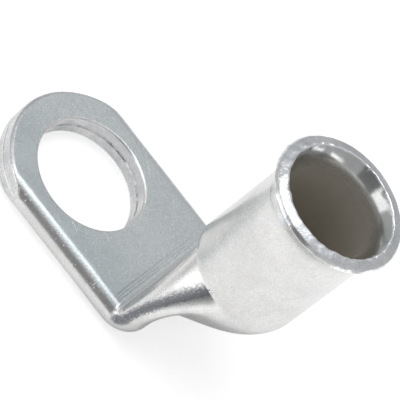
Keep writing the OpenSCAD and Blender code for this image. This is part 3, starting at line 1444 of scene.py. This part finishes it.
def painted_face_shade_group() -> bpy.types.NodeTree:
    """Painted shade that lies on the near half of a face and thins out across it.

    Returns:
        The group.
    """
    made = Effect.TARNISH.start({
        "Vector": Kind.VECTOR, "Face": 0.0, "Fineness": 150.0, "Waver": 8.0 * MM,
        "Clear from": 7.0 * MM, "Full from": -3.0 * MM, "Amount": 0.0,
    }, ["Mask"])
    place = made.given("Vector")
    across = made.put("ShaderNodeVectorMath", {0: place, 1: PAINTED_FACE_SHADE_WAY}, operation="DOT_PRODUCT")
    cloud = made.noise(place, made.given("Fineness"))
    side = made.maths("MULTIPLY_ADD", cloud, made.given("Waver"), across.outputs["Value"])
    mask = made.ramp(side, made.given("Clear from"), made.given("Full from"))
    mask = made.maths("MULTIPLY", mask, made.given("Face"))
    made.give("Mask", made.maths("MULTIPLY", mask, made.given("Amount")))
    return made.tree


def sand_group() -> bpy.types.NodeTree:
    """Fine dark sandiness.

    Returns:
        The group.
    """
    made = Effect.SAND.start({"Vector": Kind.VECTOR, "Fineness": 4800.0, "Amount": 0.0}, ["Mask"])
    mask = made.ramp(made.noise(made.given("Vector"), made.given("Fineness"), 2.0, 0.7), 0.3, 0.75)
    made.give("Mask", made.maths("MULTIPLY", mask, made.given("Amount")))
    return made.tree


def stain_group() -> bpy.types.NodeTree:
    """Warm stains, fainter where the tube was pressed.

    Returns:
        The group.
    """
    inputs = {"Vector": Kind.VECTOR, "Pressed": 0.0, "Fineness": 800.0, "Amount": 0.0}
    made = Effect.STAIN.start(inputs, ["Mask"])
    mask = made.ramp(made.noise(made.given("Vector"), made.given("Fineness"), 6.0, 0.72), 0.5, 0.72)
    mask = made.maths("MULTIPLY", mask, made.maths("MULTIPLY_ADD", made.given("Pressed"), -0.6, 1.0))
    made.give("Mask", made.maths("MULTIPLY", mask, made.given("Amount")))
    return made.tree


def dirt_and_shade_group() -> bpy.types.NodeTree:
    """Dark die dirt, with painted shade on the neck's ridge, in specks where little of it is left, or spread
    evenly.

    Returns:
        The group, in which Even goes from specks at 0 to an even film at 1.
    """
    made = Effect.DIRT.start({"Vector": Kind.VECTOR, "Dirt": 0.0, "Even": 0.0}, ["Mask"])
    dirt = made.given("Dirt")
    # Along the neck's ridge these specks are painted shade; in the bore the even film is die dirt.
    specks = made.maths("MULTIPLY_ADD", dirt, 0.5, made.noise(made.given("Vector"), 5200.0, 3.0, 0.8))
    specks = made.maths("MULTIPLY", made.ramp(specks, 0.5, 0.95), made.ramp(dirt, 0.05, 0.4))
    film = made.ramp(dirt, 0.0, 1.0)
    mask = made.maths("MULTIPLY_ADD", made.maths("SUBTRACT", film, specks), made.given("Even"), specks)
    made.give("Mask", mask)
    return made.tree


def dent_group() -> bpy.types.NodeTree:
    """Small shallow dents.

    Returns:
        The group.
    """
    made = Effect.DENT.start({"Vector": Kind.VECTOR, "Fineness": 800.0, "Depth": 0.0}, ["Height"])
    dents = made.noise(made.given("Vector"), made.given("Fineness"))
    made.give("Height", made.maths("MULTIPLY", dents, made.given("Depth")))
    return made.tree


def shared_effects() -> dict[Effect, bpy.types.NodeTree]:
    """Builds every shared effect once.

    Returns:
        The groups by effect.
    """
    return {
        Effect.CLOUD: cloud_group(),
        Effect.GRAIN: grain_group(),
        Effect.SCRATCH: scratch_group(),
        Effect.STREAK: streak_group(),
        Effect.RUB: rub_group(),
        Effect.FACE: face_group(),
        Effect.TARNISH: painted_face_shade_group(),
        Effect.SAND: sand_group(),
        Effect.STAIN: stain_group(),
        Effect.DIRT: dirt_and_shade_group(),
        Effect.DENT: dent_group(),
    }


# --------------------------------------------------------------------------------------------
# Finishes
# --------------------------------------------------------------------------------------------

# Colour of rubbed tin, also used for the painted glints on the pale specks.
RUBBED_AND_GLINT_TIN = (0.93, 0.93, 0.92, 1.0)
# Tone of the painted shade on the palm's upward face.
PAINTED_FACE_SHADE_TONE = (0.70, 0.74, 0.78)
SAND_SHADE = (0.72, 0.72, 0.72)


def shaded(colour: Colour, shade: Place) -> Colour:
    """Colour multiplied by a shade."""
    return tuple(c * k for c, k in zip(colour, shade)) + (1.0,)


def fresh_material(name: str) -> tuple[bpy.types.Material, ShaderSheet]:
    """Starts a material with no nodes.

    Args:
        name: the material's name.

    Returns:
        The material and its sheet.
    """
    material = bpy.data.materials.new(name)
    material.use_nodes = True
    material.node_tree.nodes.clear()
    return material, ShaderSheet(material.node_tree)


@dataclass(frozen=True)
class SkinMasks:
    """What the shared effects give at each point of the skin."""

    tone: Socket
    streak: Socket
    face: Socket
    painted_face_shade: Socket
    sand: Socket
    stain: Socket
    pits: Socket
    dirt: Socket
    bright: Socket
    height: Socket


@dataclass(frozen=True)
class TinFinish:
    """A finish of the tin plate: its colours, how rough it is and how much of each effect it takes.

    Depths and dents are heights of the fine relief. Matt dirt takes away that share of the metal's
    shine, and even dirt is a film instead of specks.
    """

    name: str
    pale: Colour
    dull: Colour
    deep: Colour
    roughness: float
    roughness_spread: float
    grain_depth: float
    streak_depth: float
    scratch_depth: float
    dents: float
    rub: float
    pits: float
    sand: float = 0.3
    stain: float = 0.0
    painted_face_shade: float = 0.0
    matt_dirt: float = 0.0
    even_dirt: float = 0.0
    stain_colour: Colour = (0.66, 0.62, 0.56, 1.0)
    painted_reflection_tint: Colour = WHITE
    streak_cover: float = 0.35
    dirt_and_shade_cover: float = 0.92
    metallic: float = 1.0

    def build(self, effects: dict[Effect, bpy.types.NodeTree]) -> bpy.types.Material:
        """Makes the material.

        Args:
            effects: the shared groups.

        Returns:
            The material, ready for a slot.
        """
        material, made = fresh_material(self.name)
        at = self.masks(made, effects)
        metallic = self.metallic
        if self.matt_dirt:
            metallic = made.maths("MULTIPLY_ADD", at.dirt, -self.matt_dirt, self.metallic)
        bump = made.put("ShaderNodeBump", {"Height": at.height, "Distance": 1.0, "Strength": 1.0})
        shader = made.put("ShaderNodeBsdfPrincipled", {
            "Base Color": self.colour(made, at),
            "Roughness": self.rough(made, at),
            "Metallic": metallic,
            "Normal": bump.outputs[0],
        })
        made.put("ShaderNodeOutputMaterial", {"Surface": shader.outputs[0]})
        return material

    def masks(self, made: ShaderSheet, effects: dict[Effect, bpy.types.NodeTree]) -> SkinMasks:
        """Places the shared effects with this finish's own values.

        Args:
            made: the material's sheet.
            effects: the shared groups.

        Returns:
            What they give.
        """
        spot = made.put("ShaderNodeTexCoord").outputs
        place, pressed = spot["Object"], made.layer("pressed")

        def effect(kind: Effect, **links: object) -> bpy.types.NodeOutputs:
            """Places a shared effect."""
            return made.put("ShaderNodeGroup", links, node_tree=effects[kind]).outputs

        grain = effect(Effect.GRAIN, Vector=place, Pressed=pressed, Depth=self.grain_depth)
        streak = effect(Effect.STREAK, Run=made.layer("tube_run", "Vector"))
        scratch = effect(Effect.SCRATCH, Vector=place)[0]
        dents = effect(Effect.DENT, Vector=place, Depth=self.dents)[0]
        rubbed = effect(Effect.RUB, Edge=made.layer("edge"), Vector=place, Amount=self.rub)[0]
        face = effect(Effect.FACE, Normal=spot["Normal"], Pressed=pressed)[0]
        height = made.maths("ADD", grain["Height"], dents)
        height = made.maths("MULTIPLY_ADD", streak["Height"], self.streak_depth, height)
        return SkinMasks(
            tone=effect(Effect.CLOUD, Vector=place)[0],
            streak=streak["Mask"],
            face=face,
            painted_face_shade=effect(Effect.TARNISH, Vector=place, Face=face, Amount=self.painted_face_shade)[0],
            sand=effect(Effect.SAND, Vector=place, Amount=self.sand)[0],
            stain=effect(Effect.STAIN, Vector=place, Pressed=pressed, Amount=self.stain)[0],
            pits=grain["Dark pits"],
            dirt=effect(Effect.DIRT, Vector=place, Dirt=made.layer("dirt"), Even=self.even_dirt)[0],
            # Rubbed edges and scratches are wear; the pale specks add painted glints.
            bright=made.maths("MAXIMUM", made.maths("MAXIMUM", rubbed, grain["Pale specks"]),
                              made.maths("MULTIPLY", scratch, 0.3)),
            height=made.maths("MULTIPLY_ADD", scratch, -self.scratch_depth, height),
        )

    def colour(self, made: ShaderSheet, at: SkinMasks) -> Socket:
        """Colour of the skin, from its cloudy tone up to the rubbed metal and the painted glints.

        Args:
            made: the material's sheet.
            at: the effects.

        Returns:
            The colour.
        """
        colour = made.blend(at.tone, self.pale, self.dull)
        colour = made.blend(made.maths("MULTIPLY", at.streak, self.streak_cover), colour, self.dull)
        # Painted shade: darker and bluer on the near half of the palm's upward face.
        colour = made.blend(at.painted_face_shade, colour, shaded(self.dull, PAINTED_FACE_SHADE_TONE))
        colour = made.blend(at.sand, colour, shaded(self.dull, SAND_SHADE))
        colour = made.blend(at.stain, colour, self.stain_colour)
        # Painted reflection: the upward face is tinted blue-green by the way it faces.
        colour = made.blend(at.face, colour, made.tinted(colour, self.painted_reflection_tint))
        colour = made.blend(made.maths("MULTIPLY", at.pits, self.pits), colour, self.deep)
        # Die dirt in the bore, and painted shade as dark specks along the neck's ridge.
        colour = made.blend(made.maths("MULTIPLY", at.dirt, self.dirt_and_shade_cover), colour, self.deep)
        # Rubbed metal, and painted glints on the pale specks.
        return made.blend(at.bright, colour, RUBBED_AND_GLINT_TIN)

    def rough(self, made: ShaderSheet, at: SkinMasks) -> Socket:
        """Roughness of the skin: rubbed metal is smoother, pits and dirt are rougher.

        Args:
            made: the material's sheet.
            at: the effects.

        Returns:
            The roughness.
        """
        rough = made.maths("MULTIPLY_ADD", at.tone, self.roughness_spread, self.roughness)
        for mask, change in ((at.bright, -0.08), (at.pits, 0.15), (at.dirt, 0.2)):
            rough = made.maths("MULTIPLY_ADD", mask, change, rough)
        return rough


def tin_finishes() -> dict[Finish, TinFinish]:
    """The finishes of the piece.

    Returns:
        One for each stretch of its skin.
    """
    plate = TinFinish(
        name="tin_plate",
        pale=(0.87, 0.865, 0.86, 1.0),
        dull=(0.78, 0.775, 0.77, 1.0),
        deep=(0.16, 0.17, 0.19, 1.0),
        roughness=0.22,
        roughness_spread=0.08,
        grain_depth=0.016 * MM,
        streak_depth=0.010 * MM,
        scratch_depth=0.005 * MM,
        dents=0.006 * MM,
        rub=0.35,
        pits=0.25,
        sand=0.45,
        stain=0.4,
        painted_face_shade=0.6,
        painted_reflection_tint=(0.88, 0.945, 0.965, 1.0),
    )
    cut = TinFinish(
        name="sheared_tin",
        pale=(0.86, 0.855, 0.85, 1.0),
        dull=(0.55, 0.56, 0.58, 1.0),
        deep=(0.16, 0.16, 0.17, 1.0),
        roughness=0.22,
        roughness_spread=0.12,
        grain_depth=0.02 * MM,
        streak_depth=0.02 * MM,
        scratch_depth=0.01 * MM,
        dents=0.02 * MM,
        rub=0.8,
        pits=0.5,
        sand=0.4,
    )
    rim = TinFinish(
        name="rim_tin",
        pale=(0.82, 0.83, 0.85, 1.0),
        dull=(0.56, 0.58, 0.62, 1.0),
        deep=(0.14, 0.15, 0.17, 1.0),
        roughness=0.20,
        roughness_spread=0.14,
        grain_depth=0.05 * MM,
        streak_depth=0.01 * MM,
        scratch_depth=0.02 * MM,
        dents=0.07 * MM,
        rub=0.9,
        pits=0.8,
        sand=0.4,
    )
    bore = TinFinish(
        name="bore_tin",
        pale=(0.62, 0.63, 0.63, 1.0),
        dull=(0.52, 0.525, 0.52, 1.0),
        deep=(0.6, 0.555, 0.485, 1.0),
        roughness=0.14,
        roughness_spread=0.06,
        grain_depth=0.005 * MM,
        streak_depth=0.006 * MM,
        scratch_depth=0.003 * MM,
        dents=0.01 * MM,
        rub=0.5,
        pits=0.1,
        matt_dirt=0.75,
        even_dirt=1.0,
    )
    return {Finish.PLATE: plate, Finish.CUT: cut, Finish.RIM: rim, Finish.BORE: bore}


# --------------------------------------------------------------------------------------------
# The whole lug
# --------------------------------------------------------------------------------------------


@dataclass
class TubeLug:
    """The finished piece: its stretches in one skin, with the die lines and the wear of its edges.

    The lines begin first_line_back before the fold and go on towards it, last_line more of them.
    """

    sizes: LugSizes
    section: TubeSection = field(default_factory=TubeSection)
    weld: float = 0.004 * MM
    first_line_back: float = 0.75 * MM
    line_pitch: float = 0.3 * MM
    last_line: float = 2.0
    line_width: float = 0.12 * MM
    line_depth: float = 0.05 * MM
    line_wander: float = 0.22 * MM
    wander_fineness: float = 220.0
    line_fade: float = 0.5 * MM
    line_seed: float = 3.0
    lowest_share: float = 0.93
    highest_share: float = 1.4
    edge_reach: float = 0.35 * MM
    edge_rounds: int = 3

    def build(self) -> bpy.types.Object:
        """Builds and dresses the piece.

        Returns:
            The object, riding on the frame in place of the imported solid.
        """
        effects = shared_effects()
        finishes = {kind: finish.build(effects) for kind, finish in tin_finishes().items()}
        net = SkinNet()
        PressedPalm(self.sizes, self.section).build(net)
        logger.info("pressed palm: %d points", net.count)
        FoldedNeck(self.sizes, self.section).build(net, finishes[Finish.PLATE], finishes[Finish.BORE])
        logger.info("folded neck: %d points", net.count)
        BellBarrel(self.sizes, self.section).build(net, finishes[Finish.PLATE])
        logger.info("bell barrel: %d points", net.count)
        plain = net.mesh("tube_lug", self.weld)
        for kind in Finish:
            plain.materials.append(finishes[kind])
        marked = self.die_lines(plain, finishes)
        self.mark_edges(marked)
        marked.shade_smooth()
        piece = bpy.data.objects.new("tin_plated_lug", marked)
        bpy.context.scene.collection.objects.link(piece)
        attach(piece, BODY)
        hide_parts(NODE)
        logger.info("%s: %d faces", piece.name, len(marked.polygons))
        return piece

    def die_lines(self, mesh: bpy.types.Mesh, finishes: dict[Finish, bpy.types.Material]) -> bpy.types.Mesh:
        """Sinks the lines of the folding die into the inside face, just before the fold.

        Args:
            mesh: the whole skin.
            finishes: the materials that it wears.

        Returns:
            The skin with its lines.
        """
        s = self.sizes
        return baked_by(die_lines_tree(), mesh, {
            "First line": s.fold_x - self.first_line_back,
            "Pitch": self.line_pitch,
            "Lines": self.last_line,
            "Line width": self.line_width,
            "Line depth": self.line_depth,
            "Wander": self.line_wander,
            "Wander fineness": self.wander_fineness,
            "Half palm": s.flat_w,
            "Fade at the sides": self.line_fade,
            "Lowest": self.lowest_share * s.palm_t,
            "Highest": self.highest_share * s.palm_t,
            "Seed": self.line_seed,
            **{kind.name.title(): finishes[kind] for kind in Finish},
        })

    def mark_edges(self, mesh: bpy.types.Mesh) -> None:
        """Writes how convex the skin is at each point, 0 on flats and 1 on a crisp edge.

        Args:
            mesh: the skin.
        """
        count = len(mesh.vertices)
        points = points_of(mesh)
        normals = np.zeros(count * 3, np.float32)
        mesh.vertices.foreach_get("normal", normals)
        normals = normals.reshape(-1, 3).astype(float)
        pairs = np.zeros(len(mesh.edges) * 2, np.int32)
        mesh.edges.foreach_get("vertices", pairs)
        a, b = pairs.reshape(-1, 2).T
        step, spread = points[b] - points[a], normals[b] - normals[a]
        length = np.maximum(np.einsum("ij,ij->i", step, step), 1e-14)
        bend = np.einsum("ij,ij->i", step, spread) / length
        total, hits = np.zeros(count), np.zeros(count)
        for end in (a, b):
            np.add.at(total, end, bend)
            np.add.at(hits, end, 1.0)
        hits = np.maximum(hits, 1)
        curve = total / hits
        for _ in range(self.edge_rounds):
            around = np.zeros(count)
            for here, there in ((a, b), (b, a)):
                np.add.at(around, here, curve[there])
            curve = 0.5 * curve + 0.5 * around / hits
        edge = mesh.attributes.new("edge", "FLOAT", "POINT")
        edge.data.foreach_set("value", np.clip(curve * self.edge_reach, -1, 1).astype(np.float32))


# --------------------------------------------------------------------------------------------
# Studio
# --------------------------------------------------------------------------------------------


@dataclass(frozen=True)
class SoftBox:
    """A rectangular lamp that faces the piece: its place, its size and how bright its face is."""

    name: str
    place: Place
    size: tuple[float, float]
    face: float

    def build(self, aim: Place) -> None:
        """Hangs the lamp.

        Args:
            aim: the place that it is turned to.
        """
        light = bpy.data.lights.new(self.name, "AREA")
        light.shape = "RECTANGLE"
        light.size, light.size_y = self.size
        light.energy = self.face * math.pi * self.size[0] * self.size[1]
        holder = bpy.data.objects.new(self.name, light)
        turn = (Vector(aim) - Vector(self.place)).to_track_quat("-Z", "Y").to_matrix().to_4x4()
        holder.matrix_world = Matrix.Translation(self.place) @ turn
        bpy.context.scene.collection.objects.link(holder)


@dataclass(frozen=True)
class Card:
    """A curved card round the piece that only its reflections show.

    azimuth is 0 at the front and 90 on the right, elevation is above the floor, in degrees. face is
    how bright it is.
    """

    name: str
    azimuth: tuple[float, float]
    elevation: tuple[float, float]
    face: float
    reach: float = 0.4
    steps: int = 12

    def build(self, centre: Place) -> None:
        """Bends the card round a centre.

        Args:
            centre: the middle of the piece.
        """
        points = []
        for a in np.radians(np.linspace(*self.azimuth, self.steps + 1)):
            for e in np.radians(np.linspace(*self.elevation, self.steps + 1)):
                way = Vector((math.sin(a) * math.cos(e), -math.cos(a) * math.cos(e), math.sin(e)))
                points.append(Vector(centre) + way * self.reach)
        row = self.steps + 1
        corners = [i * row + j for i in range(self.steps) for j in range(self.steps)]
        mesh = bpy.data.meshes.new(self.name)
        mesh.from_pydata(points, [], [(a, a + 1, a + row + 1, a + row) for a in corners])
        material, made = fresh_material(self.name)
        glow = made.put("ShaderNodeEmission", {"Color": WHITE, "Strength": self.face})
        made.put("ShaderNodeOutputMaterial", {"Surface": glow.outputs[0]})
        mesh.materials.append(material)
        card = bpy.data.objects.new(self.name, mesh)
        bpy.context.scene.collection.objects.link(card)
        card.visible_camera = False
        card.visible_diffuse = False
        card.visible_shadow = False
        card.visible_transmission = False


@dataclass
class Studio:
    """Pale floor, soft lamps, cards and the camera.

    The floor's lifts are what reflections and the camera see beside its lit colour. In reflections it
    rises to the right by lift_rise a metre, within its limits, gains far_lift away from under_piece,
    as painted light, and darkens where the piece stands, as a painted contact shadow.
    """

    aim: Place = (0.013, 0.0, 0.012)
    floor_drop: float = 0.02 * MM
    floor_half: float = 2.0
    floor_colour: float = 0.86
    floor_lift: float = 0.36
    backdrop_lift: float = 0.5
    lift_rise: float = 2.5
    lift_limits: tuple[float, float] = (-0.06, 0.02)
    far_lift: float = 0.1
    far_ring: tuple[float, float] = (0.022, 0.034)
    painted_shadow_ring: tuple[float, float] = (0.006, 0.016)
    under_piece: Place = (0.018, 0.0, 0.0)
    room: float = 0.55
    room_colour: Colour = (0.99, 1.0, 1.0, 1.0)
    azimuth: float = math.radians(1.2555)
    elevation: float = math.radians(43.904)
    roll: float = math.radians(51.086)
    distance: float = 350.47 * MM
    offset: tuple[float, float] = (12.744 * MM, -1.4167 * MM)
    lens: float = 303.125
    sensor: float = 36.0
    clip: tuple[float, float] = (0.01, 10.0)

    def build(self) -> None:
        """Builds the whole studio."""
        self.floor()
        self.world()
        SoftBox("overhead_box", (-0.14, 0.07, 0.55), (0.62, 0.26), 1.6).build(self.aim)
        for card in self.cards():
            card.build(self.aim)
        self.camera()
        bpy.context.scene.view_settings.view_transform = "Standard"

    def cards(self) -> list[Card]:
        """The cards that shape the reflections.

        Returns:
            One dark flag in front and bright cards round the sides.
        """
        return [
            Card("front_flag", (-22, 22), (8, 66), 0.22),
            Card("tip_card", (-100, -60), (30, 46), 1.2),
            Card("left_card", (-60, -22), (4, 31), 1.6),
            Card("right_card", (57, 83), (0.5, 14), 2.2),
            Card("right_strip", (100, 118), (0.5, 12), 1.8),
        ]

    def floor(self) -> None:
        """A plain pale floor under the palm, which keeps the shadow of the piece."""
        mesh = bpy.data.meshes.new("floor")
        h, z = self.floor_half, -self.floor_drop
        mesh.from_pydata([(-h, -h, z), (h, -h, z), (h, h, z), (-h, h, z)], [], [(0, 1, 2, 3)])
        floor = bpy.data.objects.new("floor", mesh)
        bpy.context.scene.collection.objects.link(floor)
        material, made = fresh_material("pale_floor")
        c = self.floor_colour
        shader = made.put("ShaderNodeBsdfPrincipled", {
            "Base Color": (c, c, c, 1.0),
            "Roughness": 0.9,
            "Specular IOR Level": 0.0,
            "Emission Color": WHITE,
            "Emission Strength": self.floor_glow(made),
        })
        made.put("ShaderNodeOutputMaterial", {"Surface": shader.outputs[0]})
        mesh.materials.append(material)

    def floor_glow(self, made: ShaderSheet) -> Socket:
        """How much brighter than its lit colour the floor is to reflections and to the camera.

        Args:
            made: the floor material's sheet.

        Returns:
            The strength of its glow.
        """
        rays = made.put("ShaderNodeLightPath").outputs
        place = made.put("ShaderNodeNewGeometry").outputs["Position"]
        right = made.maths("SUBTRACT", made.axes(place)["X"], self.aim[0])
        aside = made.held(made.maths("MULTIPLY", right, self.lift_rise), *self.lift_limits)
        away = made.put("ShaderNodeVectorMath", {0: place, 1: self.under_piece}, operation="DISTANCE")
        away = away.outputs["Value"]
        # Painted light in reflections: the floor glows brighter to the right and far from the piece.
        glossy = made.maths("ADD", self.floor_lift, aside)
        glossy = made.maths("MULTIPLY_ADD", made.ramp(away, *self.far_ring), self.far_lift, glossy)
        # Painted contact shadow: the glow seen in reflections fades out near the piece.
        glossy = made.maths("MULTIPLY", glossy, made.ramp(away, *self.painted_shadow_ring))
        seen = made.maths("MAXIMUM", rays["Is Camera Ray"], rays["Is Transmission Ray"])
        return made.maths("MAXIMUM", made.maths("MULTIPLY", rays["Is Glossy Ray"], glossy),
                          made.maths("MULTIPLY", seen, self.backdrop_lift))

    def world(self) -> None:
        """Even grey room."""
        world = bpy.data.worlds.new("room")
        world.use_nodes = True
        world.node_tree.nodes.clear()
        made = ShaderSheet(world.node_tree)
        back = made.put("ShaderNodeBackground", {"Color": self.room_colour, "Strength": self.room})
        made.put("ShaderNodeOutputWorld", {"Surface": back.outputs[0]})
        bpy.context.scene.world = world

    def camera(self) -> None:
        """A long lens, rolled so that the barrel leans to the right."""
        a, e, r = self.azimuth, self.elevation, self.roll
        side = Vector((math.cos(a), math.sin(a), 0.0))
        back = Vector((math.sin(a) * math.cos(e), -math.cos(a) * math.cos(e), math.sin(e)))
        rise = back.cross(side)
        right = side * math.cos(r) + rise * math.sin(r)
        up = rise * math.cos(r) - side * math.sin(r)
        place = right * self.offset[0] + up * self.offset[1] + back * self.distance
        data = bpy.data.cameras.new("camera")
        data.lens, data.sensor_width = self.lens, self.sensor
        data.clip_start, data.clip_end = self.clip
        camera = bpy.data.objects.new("camera", data)
        turn = Matrix((right, up, back)).transposed().to_4x4()
        camera.matrix_world = Matrix.Translation(place) @ turn
        bpy.context.scene.collection.objects.link(camera)
        bpy.context.scene.camera = camera


def main() -> None:
    """Builds the lug around the frame, then the studio."""
    logging.basicConfig(level=logging.INFO, format="%(message)s")
    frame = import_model()
    sizes = LugSizes.from_frame(frame["record"])
    TubeLug(sizes).build()
    Studio().build()


if __name__ == "__main__":
    main()
